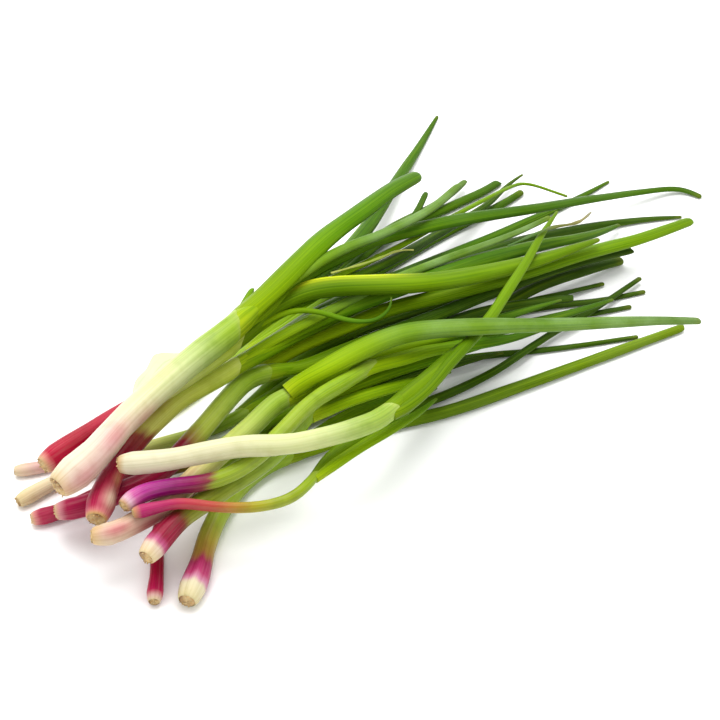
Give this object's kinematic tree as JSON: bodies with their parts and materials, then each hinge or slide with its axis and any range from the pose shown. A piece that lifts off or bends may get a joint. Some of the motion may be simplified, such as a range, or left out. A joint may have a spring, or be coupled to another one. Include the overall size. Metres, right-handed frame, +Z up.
{
  "type": "spring onion bunch",
  "caption": "Bunch of fresh red spring onions with trimmed roots, long tubular green leaves, lying loose side by side on a flat surface",
  "frame": {"origin": "on the surface that the bunch lies on, under the middle of its bounding box", "axes": "+X runs along the bunch from the root ends to the leaf tips, +Y across it, +Z up from the surface"},
  "size_m": [0.3448, 0.1908, 0.0464],
  "materials": {
    "red_stem": null,
    "pink_stem": null,
    "white_stem": null,
    "pale_green_stem": null,
    "green_leaf": null,
    "dark_leaf": null
  },
  "bodies": {
    "root": {"stem_01": "pink_stem", "leaves_01": "green_leaf", "stem_02": "white_stem", "leaves_02": "dark_leaf", "stem_03": "red_stem", "leaves_03": "dark_leaf", "stem_04": "red_stem", "leaves_04": "dark_leaf", "stem_05": "white_stem", "leaves_05": "green_leaf", "stem_06": "pale_green_stem", "leaves_06": "green_leaf", "stem_07": "red_stem", "leaves_07": "green_leaf", "stem_08": "red_stem", "leaves_08": "green_leaf", "stem_09": "white_stem", "leaves_09": "green_leaf", "stem_10": "pink_stem", "leaves_10": "green_leaf", "stem_11": "red_stem", "leaves_11": "green_leaf", "stem_12": "red_stem", "leaves_12": "green_leaf", "stem_13": "red_stem", "leaves_13": "green_leaf", "stem_14": "white_stem", "leaves_14": "green_leaf"}
  },
  "joints": []
}
